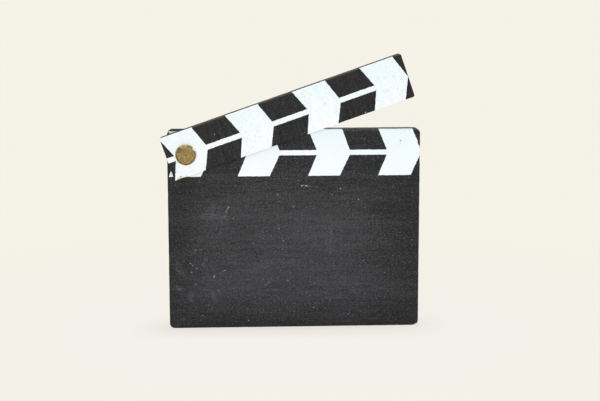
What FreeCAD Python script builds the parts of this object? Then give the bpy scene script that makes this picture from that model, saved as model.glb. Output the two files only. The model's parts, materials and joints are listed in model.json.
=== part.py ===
import FreeCAD
import Part
import Sketcher
import enum
import math
import os

# Tabletop clapperboard: a painted wooden slate board with one clap stick lapped over its front.
# A single brass rivet near the upper left corner holds the stick, which stands open.
# +X runs to the right along the board, +Y runs from its front to its back and +Z is up.
# The origin is the middle of the board's bottom edge. Lengths are millimetres, angles are degrees.

SIZES = {
    # Slate board
    "board_width": 85.0,
    "board_height": 67.9,
    "board_thick": 5.0,
    "board_corner": 1.8,
    "board_ease": 0.3,
    # Clap stick
    "stick_length": 84.4,
    "stick_width": 15.0,
    "stick_thick": 5.0,
    "stick_corner": 0.6,
    "stick_ease": 0.25,
    "lap_gap": 0.3,
    "open_angle": 19.1,
    # Place of the rivet: in from the left ends, down from the board's top, up from the stick's lower edge
    "pivot_inset": 6.4,
    "pivot_drop": 7.7,
    "pivot_rise": 7.05,
    # White chevron print, raked each way from a centre line
    "chevron_count": 4,
    "chevron_white": 11.2,
    "chevron_rake": 22.6,
    "centre_line": 1.85,
    "print_thick": 0.1,
    "board_line_drop": 8.0,
    "board_print_drop": 15.85,
    "board_print_lead": 3.15,
    "board_print_overrun": 0.75,
    "stick_print_lead": 2.95,
    "stick_print_overrun": 0.3,
    # Brass rivet
    "shank_dia": 3.0,
    "head_dia": 6.8,
    "head_height": 1.0,
    "head_bevel_width": 0.65,
    "head_bevel_drop": 0.55,
    "dimple_dia": 0.8,
    "dimple_depth": 0.15,
    "tail_dia": 5.2,
    "tail_bore_dia": 2.0,
    "tail_bore_depth": 3.2,
    # Brass washer behind the board
    "washer_dia": 7.0,
    "washer_thick": 0.6,
    "washer_chamfer": 0.15,
    # Clearances, on the radius for round fits
    "running_fit": 0.05,
    "drive_fit": 0.02,
    "head_clear": 0.05,
}

# Places worked out from the sizes, as expressions on the sheet
PIVOT_X = "(Sizes.pivot_inset - Sizes.board_width / 2)"
PIVOT_Z = "(Sizes.board_height - Sizes.pivot_drop)"
BOARD_FRONT = "(-Sizes.board_thick / 2)"
BOARD_BACK = "(Sizes.board_thick / 2)"
STICK_BACK = f"({BOARD_FRONT} - Sizes.lap_gap)"
STICK_FRONT = f"({STICK_BACK} - Sizes.stick_thick)"
HEAD_SEAT = f"({STICK_FRONT} - Sizes.print_thick - Sizes.head_clear)"
WASHER_BACK = f"({BOARD_BACK} + Sizes.washer_thick)"
STICK_BORE_RADIUS = "(Sizes.shank_dia / 2 + Sizes.running_fit)"
DRIVEN_BORE_RADIUS = "(Sizes.shank_dia / 2 + Sizes.drive_fit)"


class Spot(enum.IntEnum):
    """A sketch's own numbers for its origin and for the points of its elements."""

    ORIGIN = -1
    START = 1
    END = 2
    CENTRE = 3


def make_sheet(document):
    """Keep every driving size in its own aliased cell."""
    sheet = document.addObject("Spreadsheet::Sheet", "Sizes")
    for row, (alias, value) in enumerate(SIZES.items(), start=1):
        sheet.set(f"A{row}", alias)
        sheet.set(f"B{row}", str(value))
        sheet.setAlias(f"B{row}", alias)
    document.recompute()


def add_body(document, label):
    """Start a piece at the middle of the board's bottom edge."""
    body = document.addObject("PartDesign::Body", label)
    body.Label = label
    return body


def seat_on_pivot(body, depth):
    """Put a piece's own origin on the rivet's axis, at a depth from the middle of the board."""
    body.setExpression("Placement.Base.x", PIVOT_X)
    body.setExpression("Placement.Base.y", depth)
    body.setExpression("Placement.Base.z", PIVOT_Z)


def swing_open(body):
    """Turn a piece of the stick up about the rivet to the open rest angle."""
    towards_viewer = FreeCAD.Vector(0, -1, 0)
    body.Placement = FreeCAD.Placement(FreeCAD.Vector(), FreeCAD.Rotation(towards_viewer, 1))
    body.setExpression("Placement.Rotation.Angle", "Sizes.open_angle")


def add_sketch(body, role, name):
    """Attach a new sketch to one of the piece's own origin planes."""
    plane = next(feature for feature in body.Origin.OriginFeatures if feature.Role == role)
    sketch = body.newObject("Sketcher::SketchObject", f"{body.Name}_{name}")
    sketch.AttachmentSupport = [(plane, "")]
    sketch.MapMode = "FlatFace"
    return sketch


def bind(sketch, kind, *where, size):
    """Add a dimension that follows an expression."""
    index = sketch.addConstraint(Sketcher.Constraint(kind, *where, float(sketch.evalExpression(size))))
    sketch.setExpression(f"Constraints[{index}]", size)


def pin(sketch, element, point, across, along):
    """Tie a point of a sketch to the sketch's origin by two dimensions."""
    bind(sketch, "DistanceX", Spot.ORIGIN, Spot.START, element, point, size=across)
    bind(sketch, "DistanceY", Spot.ORIGIN, Spot.START, element, point, size=along)


def draw_outline(sketch, corners, round_leg=None):
    """Draw a closed outline through corners; the leg named round_leg is a half circle."""
    spots = [
        FreeCAD.Vector(sketch.evalExpression(across), sketch.evalExpression(along), 0)
        for across, along in corners
    ]
    first = sketch.GeometryCount
    count = len(corners)
    for leg, spot in enumerate(spots):
        following = spots[(leg + 1) % count]
        if leg == round_leg:
            radius = (spot - following).Length / 2
            circle = Part.Circle((spot + following) / 2, FreeCAD.Vector(0, 0, 1), radius)
            sketch.addGeometry(Part.ArcOfCircle(circle, 0, math.pi))
        else:
            sketch.addGeometry(Part.LineSegment(spot, following))
    for leg, (across, along) in enumerate(corners):
        ends = (first + leg, Spot.END, first + (leg + 1) % count, Spot.START)
        sketch.addConstraint(Sketcher.Constraint("Coincident", *ends))
        pin(sketch, first + leg, Spot.START, across, along)
    if round_leg is not None:
        along = corners[round_leg][1]
        bind(sketch, "DistanceY", Spot.ORIGIN, Spot.START, first + round_leg, Spot.CENTRE, size=along)


def draw_rounded_rectangle(sketch, left, bottom, right, top, corner):
    """Draw a rectangle between four expressions, with its corners rounded alike."""
    west, south, east, north, radius = (
        float(sketch.evalExpression(size)) for size in (left, bottom, right, top, corner)
    )
    normal = FreeCAD.Vector(0, 0, 1)
    sides = [
        ((west + radius, south), (east - radius, south)),
        ((east, south + radius), (east, north - radius)),
        ((east - radius, north), (west + radius, north)),
        ((west, north - radius), (west, south + radius)),
    ]
    centres = [
        (east - radius, south + radius),
        (east - radius, north - radius),
        (west + radius, north - radius),
        (west + radius, south + radius),
    ]
    first = sketch.GeometryCount
    for quarter, ((start, end), centre) in enumerate(zip(sides, centres)):
        sketch.addGeometry(Part.LineSegment(FreeCAD.Vector(*start, 0), FreeCAD.Vector(*end, 0)))
        circle = Part.Circle(FreeCAD.Vector(*centre, 0), normal, radius)
        begin = (quarter - 1) * math.pi / 2
        sketch.addGeometry(Part.ArcOfCircle(circle, begin, begin + math.pi / 2))
    pieces = 2 * len(sides)
    for piece in range(pieces):
        ends = (first + piece, Spot.END, first + (piece + 1) % pieces, Spot.START)
        sketch.addConstraint(Sketcher.Constraint("Tangent", *ends))
    bottom_side, right_side, top_side, left_side = range(first, first + pieces, 2)
    for side in (bottom_side, top_side):
        sketch.addConstraint(Sketcher.Constraint("Horizontal", side))
    for side in (right_side, left_side):
        sketch.addConstraint(Sketcher.Constraint("Vertical", side))
    first_arc, *other_arcs = range(first + 1, first + pieces, 2)
    for arc in other_arcs:
        sketch.addConstraint(Sketcher.Constraint("Equal", first_arc, arc))
    bind(sketch, "Radius", first_arc, size=corner)
    bind(sketch, "DistanceY", Spot.ORIGIN, Spot.START, bottom_side, Spot.START, size=bottom)
    bind(sketch, "DistanceX", Spot.ORIGIN, Spot.START, right_side, Spot.START, size=right)
    bind(sketch, "DistanceY", Spot.ORIGIN, Spot.START, top_side, Spot.START, size=top)
    bind(sketch, "DistanceX", Spot.ORIGIN, Spot.START, left_side, Spot.START, size=left)


def draw_circle(sketch, across, along, radius):
    """Draw a circle whose centre and radius follow expressions."""
    centre = FreeCAD.Vector(sketch.evalExpression(across), sketch.evalExpression(along), 0)
    circle = Part.Circle(centre, FreeCAD.Vector(0, 0, 1), float(sketch.evalExpression(radius)))
    index = sketch.addGeometry(circle)
    pin(sketch, index, Spot.CENTRE, across, along)
    bind(sketch, "Radius", index, size=radius)


def pad(body, sketch, name, length, symmetric=False):
    """Thicken a sketch drawn on the front plane, towards the viewer or evenly both ways."""
    feature = body.newObject("PartDesign::Pad", f"{body.Name}_{name}")
    feature.Profile = sketch
    feature.SideType = "Symmetric" if symmetric else "One side"
    feature.setExpression("Length", length)
    sketch.Document.recompute()
    return feature


def cut_through(body, sketch, name):
    """Cut a sketch right through a piece, both ways from the sketch, and make sure that it bites."""
    solid_before = body.Shape.Volume
    feature = body.newObject("PartDesign::Pocket", f"{body.Name}_{name}")
    feature.Profile = sketch
    feature.Type = "ThroughAll"
    feature.SideType = "Symmetric"
    sketch.Document.recompute()
    if body.Shape.Volume >= solid_before:
        raise RuntimeError(f"{feature.Name} cuts nothing")


def lathe(body, sketch, name):
    """Turn a half section about the rivet's axis."""
    feature = body.newObject("PartDesign::Revolution", f"{body.Name}_{name}")
    feature.Profile = sketch
    feature.ReferenceAxis = (sketch, ["V_Axis"])
    feature.Angle = 360
    sketch.Document.recompute()


def ease_faces(body, base, radius):
    """Round the edges of a panel's front and back faces."""
    broad = []
    for index, face in enumerate(base.Shape.Faces, start=1):
        if abs(face.normalAt(0, 0).y) > math.cos(math.radians(1)):
            broad.append(f"Face{index}")
    fillet = body.newObject("PartDesign::Fillet", f"{body.Name}_ease")
    fillet.Base = (base, broad)
    fillet.setExpression("Radius", radius)
    body.Document.recompute()


def make_slate_board(document):
    """Wooden panel with rounded corners and eased edges, drilled for the rivet."""
    body = add_body(document, "slate_board")
    outline = add_sketch(body, "XZ_Plane", "outline")
    draw_rounded_rectangle(
        outline,
        left="-Sizes.board_width / 2",
        bottom="0",
        right="Sizes.board_width / 2",
        top="Sizes.board_height",
        corner="Sizes.board_corner",
    )
    panel = pad(body, outline, "panel", "Sizes.board_thick", symmetric=True)
    ease_faces(body, panel, "Sizes.board_ease")
    bore = add_sketch(body, "XZ_Plane", "bore")
    draw_circle(bore, PIVOT_X, PIVOT_Z, DRIVEN_BORE_RADIUS)
    cut_through(body, bore, "rivet_bore")
    return body


def make_clap_stick(document):
    """Wooden stick, drawn about the rivet's axis and swung open in front of the board."""
    body = add_body(document, "clap_stick")
    swing_open(body)
    seat_on_pivot(body, STICK_BACK)
    outline = add_sketch(body, "XZ_Plane", "outline")
    draw_rounded_rectangle(
        outline,
        left="-Sizes.pivot_inset",
        bottom="-Sizes.pivot_rise",
        right="Sizes.stick_length - Sizes.pivot_inset",
        top="Sizes.stick_width - Sizes.pivot_rise",
        corner="Sizes.stick_corner",
    )
    lath = pad(body, outline, "lath", "Sizes.stick_thick")
    ease_faces(body, lath, "Sizes.stick_ease")
    bore = add_sketch(body, "XZ_Plane", "bore")
    draw_circle(bore, "0", "0", STICK_BORE_RADIUS)
    cut_through(body, bore, "rivet_bore")
    return body


def make_chevron_print(document, label, flat, flat_corner, band_bottom, line_height, lead, overrun, hole):
    """White film of raked chevrons joined by a centre line, trimmed to the flat of a wooden face.

    flat holds the left, bottom, right and top edges of the wood's flat, from the rivet's axis.
    The band runs from band_bottom up to the top of the flat, with its centre line at line_height.
    lead is the place of the first chevron's notch, and hole is the radius left open for the rivet.
    The chevrons are spaced so that the last one's point overruns the right edge, where it is trimmed.
    """
    left, flat_bottom, right, top = flat
    body = add_body(document, label)
    line_bottom = f"{line_height} - Sizes.centre_line / 2"
    line_top = f"{line_height} + Sizes.centre_line / 2"
    lean_up = f"({top} - {line_height}) * tan(Sizes.chevron_rake)"
    lean_down = f"({line_height} - {band_bottom}) * tan(Sizes.chevron_rake)"
    last_notch = f"({right} + {overrun} - Sizes.chevron_white)"
    line_end = f"{last_notch} + Sizes.chevron_white / 2"
    row_length = f"{last_notch} - {lead}"

    line = add_sketch(body, "XZ_Plane", "line")
    draw_outline(line, [
        (left, line_bottom),
        (line_end, line_bottom),
        (line_end, line_top),
        (left, line_top),
    ])
    pad(body, line, "centre_line", "Sizes.print_thick")

    chevron = add_sketch(body, "XZ_Plane", "chevron")
    draw_outline(chevron, [
        (lead, line_height),
        (f"{lead} - {lean_down}", band_bottom),
        (f"{lead} - {lean_down} + Sizes.chevron_white", band_bottom),
        (f"{lead} + Sizes.chevron_white", line_height),
        (f"{lead} - {lean_up} + Sizes.chevron_white", top),
        (f"{lead} - {lean_up}", top),
    ])
    first_chevron = pad(body, chevron, "chevron", "Sizes.print_thick")

    row = body.newObject("PartDesign::LinearPattern", f"{label}_row")
    row.Originals = [first_chevron]
    row.Direction = (chevron, ["H_Axis"])
    row.setExpression("Length", row_length)
    row.setExpression("Occurrences", "Sizes.chevron_count")
    body.Tip = row
    document.recompute()

    trim = add_sketch(body, "XZ_Plane", "trim")
    spill = "Sizes.chevron_white"
    draw_outline(trim, [
        (f"{left} - {spill}", f"{flat_bottom} - {spill}"),
        (f"{right} + {spill}", f"{flat_bottom} - {spill}"),
        (f"{right} + {spill}", f"{top} + {spill}"),
        (f"{left} - {spill}", f"{top} + {spill}"),
    ])
    draw_rounded_rectangle(trim, left, flat_bottom, right, top, flat_corner)
    cut_through(body, trim, "trim")

    eye = add_sketch(body, "XZ_Plane", "eye")
    draw_circle(eye, "0", "0", hole)
    cut_through(body, eye, "rivet_eye")
    return body


def make_board_chevrons(document):
    """Print across the top of the board, down to just below the stick's place when it is closed."""
    flat = (
        "(Sizes.board_ease - Sizes.pivot_inset)",
        f"(Sizes.board_ease - {PIVOT_Z})",
        "(Sizes.board_width - Sizes.board_ease - Sizes.pivot_inset)",
        "(Sizes.pivot_drop - Sizes.board_ease)",
    )
    body = make_chevron_print(
        document,
        "board_chevrons",
        flat,
        flat_corner="(Sizes.board_corner - Sizes.board_ease)",
        band_bottom="(Sizes.pivot_drop - Sizes.board_print_drop)",
        line_height="(Sizes.pivot_drop - Sizes.board_line_drop)",
        lead="(Sizes.board_print_lead - Sizes.pivot_inset)",
        overrun="Sizes.board_print_overrun",
        hole=DRIVEN_BORE_RADIUS,
    )
    seat_on_pivot(body, BOARD_FRONT)
    return body


def make_stick_chevrons(document):
    """Print over the whole front of the stick, with its centre line through the rivet."""
    flat_bottom = "(Sizes.stick_ease - Sizes.pivot_rise)"
    flat = (
        "(Sizes.stick_ease - Sizes.pivot_inset)",
        flat_bottom,
        "(Sizes.stick_length - Sizes.stick_ease - Sizes.pivot_inset)",
        "(Sizes.stick_width - Sizes.stick_ease - Sizes.pivot_rise)",
    )
    body = make_chevron_print(
        document,
        "stick_chevrons",
        flat,
        flat_corner="(Sizes.stick_corner - Sizes.stick_ease)",
        band_bottom=flat_bottom,
        line_height="0",
        lead="(Sizes.stick_print_lead - Sizes.pivot_inset)",
        overrun="Sizes.stick_print_overrun",
        hole=STICK_BORE_RADIUS,
    )
    swing_open(body)
    seat_on_pivot(body, STICK_FRONT)
    return body


def make_pivot_rivet(document):
    """Semi-tubular brass rivet, turned in one piece: bevelled head, shank and rolled tail."""
    body = add_body(document, "pivot_rivet")
    seat_on_pivot(body, "0")
    head_radius = "Sizes.head_dia / 2"
    head_top = f"({HEAD_SEAT} - Sizes.head_height)"
    shank_radius = "Sizes.shank_dia / 2"
    bore_radius = "Sizes.tail_bore_dia / 2"
    bore_end = f"({WASHER_BACK} - Sizes.tail_bore_depth)"
    section = add_sketch(body, "XY_Plane", "section")
    corners = [
        ("0", f"{head_top} + Sizes.dimple_depth"),
        ("Sizes.dimple_dia / 2", head_top),
        (f"{head_radius} - Sizes.head_bevel_width", head_top),
        (head_radius, f"{head_top} + Sizes.head_bevel_drop"),
        (head_radius, HEAD_SEAT),
        (shank_radius, HEAD_SEAT),
        (shank_radius, WASHER_BACK),
        ("Sizes.tail_dia / 2", WASHER_BACK),
        (bore_radius, WASHER_BACK),
        (bore_radius, bore_end),
        ("0", f"{bore_end} - {bore_radius} * tan(30)"),
    ]
    rolled_tail = 7
    draw_outline(section, corners, round_leg=rolled_tail)
    lathe(body, section, "turned")
    return body


def make_rivet_washer(document):
    """Brass washer between the back of the board and the rolled tail, chamfered at its outer rim."""
    body = add_body(document, "rivet_washer")
    seat_on_pivot(body, BOARD_BACK)
    rim = "Sizes.washer_dia / 2"
    section = add_sketch(body, "XY_Plane", "section")
    draw_outline(section, [
        (DRIVEN_BORE_RADIUS, "0"),
        (rim, "0"),
        (rim, "Sizes.washer_thick - Sizes.washer_chamfer"),
        (f"{rim} - Sizes.washer_chamfer", "Sizes.washer_thick"),
        (DRIVEN_BORE_RADIUS, "Sizes.washer_thick"),
    ])
    lathe(body, section, "turned")
    return body


def check(document, pieces):
    """Stop if any object failed to build or any piece isn't one valid solid."""
    for item in document.Objects:
        if "Invalid" in item.State or "Error" in item.State:
            raise RuntimeError(f"{item.Name} failed: {item.State}")
    for piece in pieces:
        if piece.Shape.isNull() or not piece.Shape.isValid() or len(piece.Shape.Solids) != 1:
            raise RuntimeError(f"{piece.Label} is not one valid solid")


def main():
    document = FreeCAD.newDocument("clapperboard")
    make_sheet(document)
    makers = (
        make_slate_board,
        make_clap_stick,
        make_board_chevrons,
        make_stick_chevrons,
        make_pivot_rivet,
        make_rivet_washer,
    )
    pieces = [make(document) for make in makers]
    document.recompute()
    check(document, pieces)
    os.makedirs("parts", exist_ok=True)
    for piece in pieces:
        piece.Shape.exportStep(f"parts/{piece.Label}.step")
        print(f"{piece.Label}: {piece.Shape.Volume:.2f} cubic millimetres")


main()
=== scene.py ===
import json
import math
from functools import partial, partialmethod, reduce

import bmesh
import bpy
from bpy.props import FloatProperty, FloatVectorProperty, PointerProperty
from mathutils import Matrix, Quaternion, Vector, noise
from mathutils.geometry import delaunay_2d_cdt

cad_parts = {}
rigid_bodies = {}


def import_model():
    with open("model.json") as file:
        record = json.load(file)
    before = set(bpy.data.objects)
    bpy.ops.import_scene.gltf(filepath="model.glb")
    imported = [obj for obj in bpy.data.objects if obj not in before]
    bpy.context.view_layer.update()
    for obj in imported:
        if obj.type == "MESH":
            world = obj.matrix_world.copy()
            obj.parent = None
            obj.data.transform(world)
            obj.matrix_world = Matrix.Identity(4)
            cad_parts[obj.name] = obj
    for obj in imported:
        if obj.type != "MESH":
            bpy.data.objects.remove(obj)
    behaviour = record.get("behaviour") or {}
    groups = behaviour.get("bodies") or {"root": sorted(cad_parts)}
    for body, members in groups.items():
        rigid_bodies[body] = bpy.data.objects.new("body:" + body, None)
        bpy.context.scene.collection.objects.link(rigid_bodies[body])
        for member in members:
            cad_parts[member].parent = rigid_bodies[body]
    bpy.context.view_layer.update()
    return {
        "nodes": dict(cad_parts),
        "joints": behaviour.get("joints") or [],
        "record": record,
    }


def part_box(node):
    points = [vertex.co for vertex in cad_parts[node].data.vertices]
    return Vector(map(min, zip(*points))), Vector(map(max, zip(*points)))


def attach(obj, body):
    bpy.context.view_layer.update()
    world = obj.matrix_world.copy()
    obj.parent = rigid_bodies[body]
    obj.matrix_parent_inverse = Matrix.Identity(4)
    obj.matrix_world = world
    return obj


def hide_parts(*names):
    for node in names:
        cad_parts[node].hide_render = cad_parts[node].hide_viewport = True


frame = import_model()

bl_info = {
    "name": "Clapperboard",
    "version": (1, 0, 0),
    "blender": (4, 5, 0),
    "location": "View3D > Sidebar > Clapperboard",
    "description": "A small wooden clapperboard with printed chevrons, turning on a brass rivet",
    "category": "Add Mesh",
}

# Meshes are worked in millimetres from the rivet's axis: X along a wood, Y front to back, Z up.
MM = 0.001
HINGE = frame["joints"][0]
PIVOT = Vector(HINGE["pos_m"])
OPEN_ANGLE = math.radians(19.1)
BOARD_PLACE = Matrix.Translation(PIVOT) @ Matrix.Scale(MM, 4)
STICK_PLACE = Matrix.Translation(PIVOT) @ Matrix.Rotation(OPEN_ANGLE, 4, HINGE["axis"]) @ Matrix.Scale(MM, 4)
COLOURS = {entry["slot"]: entry["base_color"] for entry in frame["record"]["materials"]}

# Cells of the woods: in a corner, from the bore's middle to its collar and to its wall, round an edge
CORNER_CELLS = 6
COLLAR_RINGS = 6
BORE_RING = 4
EASE_STEPS = 5

# Wear of the woods
EDGE_REACH = 1.4
DENT_WAVE = 0.4
CHIP_WAVE = 2.7

# Edges of the prints
WAVER_SEED = 186
WAVER_WAVE = 1.1
FINE_WAVE = 2.7
RAGGED_REACH = 3
RAGGED_FADE = 2
OUTLINE_GAP = 0.25
LEAST_GAP = 0.03
RIM_MARGIN = 0.05
CHIP_SHARE = 0.92
LEAD_RUN = 15

# Films of the prints, sunk a little into their woods and thinner at their edges
EYE_SIDES = 40
FILM_MARGIN = 0.1
FILM_RIM_GAP = 0.12
FILM_EDGE = 0.7
FILM_SINK = 0.03
INSIDE_ONLY = 1
MERGE_GAP = 1e-4

# Profile of the rivet: the dimple by radius and depth, the bevel by shares of its width and drop
DIMPLE = [(0, 0.15), (0.12, 0.145), (0.24, 0.11), (0.34, 0.04), (0.42, 0)]
BEVEL_CURVE = [(0.15, 0.09), (0.4, 0.3), (0.7, 0.6), (0.9, 0.84)]
HEAD_ROUND = 0.12
ROLL_SEAT = 0.05

# Marks on the turned pieces
TAIL_ROLL = 0.05
HEAD_DENT = 0.035
DENT_DEPTH = 1.05
DENT_START = 0.8
BURR = 0.12
BURR_TURN = 4.66
BURR_WIDTH = 0.07
BURR_DEPTH = 0.7
BURR_HEIGHT = 0.4
STAMP_PLAY = 0.03

# The stage, with each lamp's name, bearing, rise and size
FLOOR_SHADE = 0.24
LAMP_AIM = Vector((0, 0, 0.04))
LAMP_DISTANCE = 0.9
LAMPS = [("above", 0, 89, 0.25), ("left", -27, 4, 0.18), ("right", 31, 4, 0.18), ("front", -3, 5, 0.2)]


def setting(name, description, default, scale=1, **kind):
    """A number, or a row of numbers, that a user may change."""
    kind.update(name=name, description=description)
    if isinstance(default, (int, float)):
        return FloatProperty(default=default * scale, **kind)
    return FloatVectorProperty(default=[part * scale for part in default], size=len(default), **kind)


length = partial(setting, scale=MM, precision=5, unit="LENGTH")
angle = partial(setting, scale=math.radians(1), subtype="ANGLE")
number = partial(setting, min=0)
power = partial(setting, min=0, unit="POWER")
location = partial(setting, subtype="TRANSLATION")
colour = partial(setting, min=0, max=1, subtype="COLOR")


class BoardSettings(bpy.types.PropertyGroup):
    """Sizes and colours of the painted board."""

    corner: length("Corner", "Radius of the board's rounded corners", 1.8)
    ease: length("Ease", "Radius of the board's eased edges", 0.45)
    bore: length("Bore", "Diameter of the rivet's tight hole", 3.04)
    furrow: length("Furrow", "Depth of the grain under the paint", 0.03)
    dent: length("Dent", "Depth of the dents along the edges", 0.08)
    paint: colour("Paint", "Matt black of the board", (0.0346, 0.0346, 0.0365))
    chalk: colour("Chalk", "Chalk marks and dust on the front", (0.45, 0.47, 0.5))
    # Partly painted highlight: this grey also stands for the light that the eased upper edge catches.
    rubbed_and_lit: colour("Rubbed", "Paint rubbed thin along the upper edge", (0.13, 0.125, 0.115))
    wood: colour("Wood", "Bare wood where the paint is chipped", (0.78, 0.74, 0.66))


class StickSettings(bpy.types.PropertyGroup):
    """Sizes and colours of the painted stick."""

    corner: length("Corner", "Radius of the stick's rounded corners", 0.6)
    ease: length("Ease", "Radius of the stick's eased edges", 0.3)
    bore: length("Bore", "Diameter of the rivet's free hole", 3.1)
    furrow: length("Furrow", "Depth of the grain under the paint", 0.025)
    dent: length("Dent", "Depth of the dents along the edges", 0.07)
    paint: colour("Paint", "Matt black of the stick", COLOURS["stick_paint"])
    # Partly painted light: this olive grey also stands for the light that falls on the stick's top edge.
    rubbed_and_lit: colour("Rubbed", "Paint rubbed thin along the upper edge", (0.058, 0.055, 0.043))
    dust: colour("Dust", "Specks of dust on the front", (0.62, 0.62, 0.6))
    wood: colour("Wood", "Bare wood where the paint is worn off", (0.94, 0.84, 0.68))


class PrintSettings(bpy.types.PropertyGroup):
    """Sizes and colours of the white chevrons, placed from the rivet's axis."""

    white: length("White", "Width of a white chevron at its centre line", 11.1)
    flare: number("Flare", "How much wider a chevron gets for its height", 0.045)
    rake: angle("Rake", "How far the chevrons lean from square", 22.6)
    line: length("Centre line", "Width of the line that joins the chevrons", 1.7)
    board_notches: length("Board notches", "Notches of the board's chevrons", (-2.72, 20.4, 44.06, 67.7))
    board_tip: length("Board tip", "How far the board's print reaches out at its tip", 0.25)
    board_line: length("Board line", "Height of the board's centre line", -0.22)
    board_bottom: length("Board bottom", "Lower edge of the board's print", -8.07)
    stick_notches: length("Stick notches", "Notches of the stick's chevrons", (-3.36, 19.78, 43.23, 66.8))
    stick_line: length("Stick line", "Height of the stick's centre line", 0.05)
    film: length("Film", "Thickness of the printed film", 0.06)
    waver: length("Waver", "How far the edges of the print wander", 0.09)
    ink: colour("Ink", "White of the print", (0.94, 0.968, 0.985))
    # The greyer, bluer white that a print turns to towards its top and towards its right end.
    thin: colour("Thin ink", "White where the print lies thinner", (0.74, 0.915, 0.965))


class RivetSettings(bpy.types.PropertyGroup):
    """Sizes and colours of the brass rivet."""

    head: length("Head", "Height of the rivet's head", 1.0)
    bevel: length("Bevel", "Width of the bevel round the head", 0.65)
    bevel_drop: length("Bevel drop", "How far the bevel falls", 0.55)
    shank: length("Shank", "Diameter of the rivet's shank", 3.0)
    tail: length("Tail", "Diameter of the rolled tail", 5.2)
    tail_bore: length("Tail bore", "Diameter of the hole up the tail", 2.0)
    tail_depth: length("Tail depth", "Depth of the hole up the tail", 3.2)
    brass: colour("Brass", "Brass of the rivet", COLOURS["rivet_brass"])
    tarnish: colour("Tarnish", "Brown of the tarnished brass", (0.152, 0.11, 0.034))


class WasherSettings(bpy.types.PropertyGroup):
    """Size and colour of the brass washer."""

    bore: length("Bore", "Diameter of the washer's hole", 3.1)
    brass: colour("Brass", "Brass of the washer", COLOURS["washer_brass"])


class StageSettings(bpy.types.PropertyGroup):
    """Floor, light and camera."""

    floor: colour("Floor", "Pale floor that the board stands on", (0.9, 0.9, 0.935))
    backdrop: colour("Backdrop", "Pale light that the floor fades into", (0.91, 0.885, 0.8))
    fill: number("Fill", "Strength of the light from all round", 0.12)
    above: power("Above", "Power of the lamp above", 6.7)
    left: power("Left", "Power of the lamp at the left", 1.52)
    right: power("Right", "Power of the lamp at the right", 1.32)
    front: power("Front", "Power of the lamp by the camera", 1.8)
    lens: number("Lens", "Focal length in millimetres", 84.0)
    stand: location("Stand", "Where the camera stands", (-0.02128, -0.46844, 0.1176))
    aim: location("Aim", "What the camera looks at", (0.00195, -0.0025, 0.04373))
    roll: angle("Roll", "How far the camera leans", -0.09)


class ClapperboardSettings(bpy.types.PropertyGroup):
    """Everything that a user may change."""

    board: PointerProperty(type=BoardSettings)
    stick: PointerProperty(type=StickSettings)
    chevrons: PointerProperty(type=PrintSettings)
    rivet: PointerProperty(type=RivetSettings)
    washer: PointerProperty(type=WasherSettings)
    stage: PointerProperty(type=StageSettings)


def spread(start, end, gap):
    """Evenly spaced stops from start to end, no further apart than the gap."""
    count = max(1, math.ceil((end - start) / gap - 1e-6))
    return [start + (end - start) * step / count for step in range(count + 1)]


class Wood:
    """One of the two woods: its outline from the frame, its eased edges and its wear."""

    def __init__(self, node, placing, settings, grain, chips):
        """Takes chips as place from the wood's lower left corner, reach and depth."""
        back = placing.inverted()
        spots = [back @ vertex.co for vertex in frame["nodes"][node].data.vertices]
        self.low = Vector([min(axis) for axis in zip(*spots)])
        self.high = Vector([max(axis) for axis in zip(*spots)])
        self.placing = placing
        self.corner = settings.corner / MM
        self.ease = settings.ease / MM
        self.bore = settings.bore / MM / 2
        self.furrow = settings.furrow / MM
        self.dent = settings.dent / MM
        self.grain = grain
        self.chips = [
            (Vector((self.low.x + across, self.low.y, self.low.z + up)), reach, depth)
            for (across, up), reach, depth in chips
        ]

    def core(self, spot):
        """The nearest point of the rectangle that the corners turn round."""
        return Vector((
            min(max(spot.x, self.low.x + self.corner), self.high.x - self.corner),
            min(max(spot.y, self.low.z + self.corner), self.high.z - self.corner),
        ))

    def rim(self, spot):
        """How far a point of the face lies inside the outline, and the way out."""
        away = spot - self.core(spot)
        return self.corner - away.length, away.normalized()

    def turned_in(self, spot):
        """Pulls a point in the square of a corner onto the arcs that turn the corner."""
        away = spot - self.core(spot)
        if away.x and away.y:
            return spot + away * (max(abs(away.x), abs(away.y)) / away.length - 1)
        return spot

    def sunk(self, spot, out, edge):
        """Where wear has moved a point of the surface to, and how bare it is there."""
        run = Vector([part * wave for part, wave in zip(spot, self.grain)])
        depth = self.furrow * (0.5 + 0.5 * noise.noise(run))
        depth += self.dent * edge * max(0.0, noise.noise(spot * DENT_WAVE))
        bare = 0.0
        for centre, reach, deep in self.chips:
            share = 1 - ((spot - centre).length / reach) ** 2
            if share > 0:
                depth += deep * share * (0.8 + 0.6 * noise.noise(spot * CHIP_WAVE))
                bare = max(bare, share)
        return spot - out * depth, bare

    def skin(self, spot, lift):
        """A point lifted off the worn front or its eased edge."""
        inset, way = self.rim(spot)
        tilt = math.asin(min(max(1 - inset / self.ease, 0.0), 1.0))
        out = outwards(way, tilt)
        face = Vector((spot.x, self.low.y + self.ease * (1 - math.cos(tilt)), spot.y))
        return self.sunk(face, out, edge_share(inset))[0] + out * lift


def outwards(way, turn):
    """Straight out of a wood's rim, turned from the front towards the way out of its outline."""
    return Vector((way.x * math.sin(turn), -math.cos(turn), way.y * math.sin(turn)))


def edge_share(inset):
    """1 at the outline of a face, fading to 0 a little way in."""
    return max(0.0, 1 - inset / EDGE_REACH) ** 2


def board_wood(settings):
    """The board: grain along it, and a chip at its lower right corner."""
    chips = [((83.7, 0.1), 0.45, 0.13), ((84.25, 0.42), 0.4, 0.12)]
    return Wood("slate_board", BOARD_PLACE, settings, (0.05, 0.9, 0.9), chips)


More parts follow.
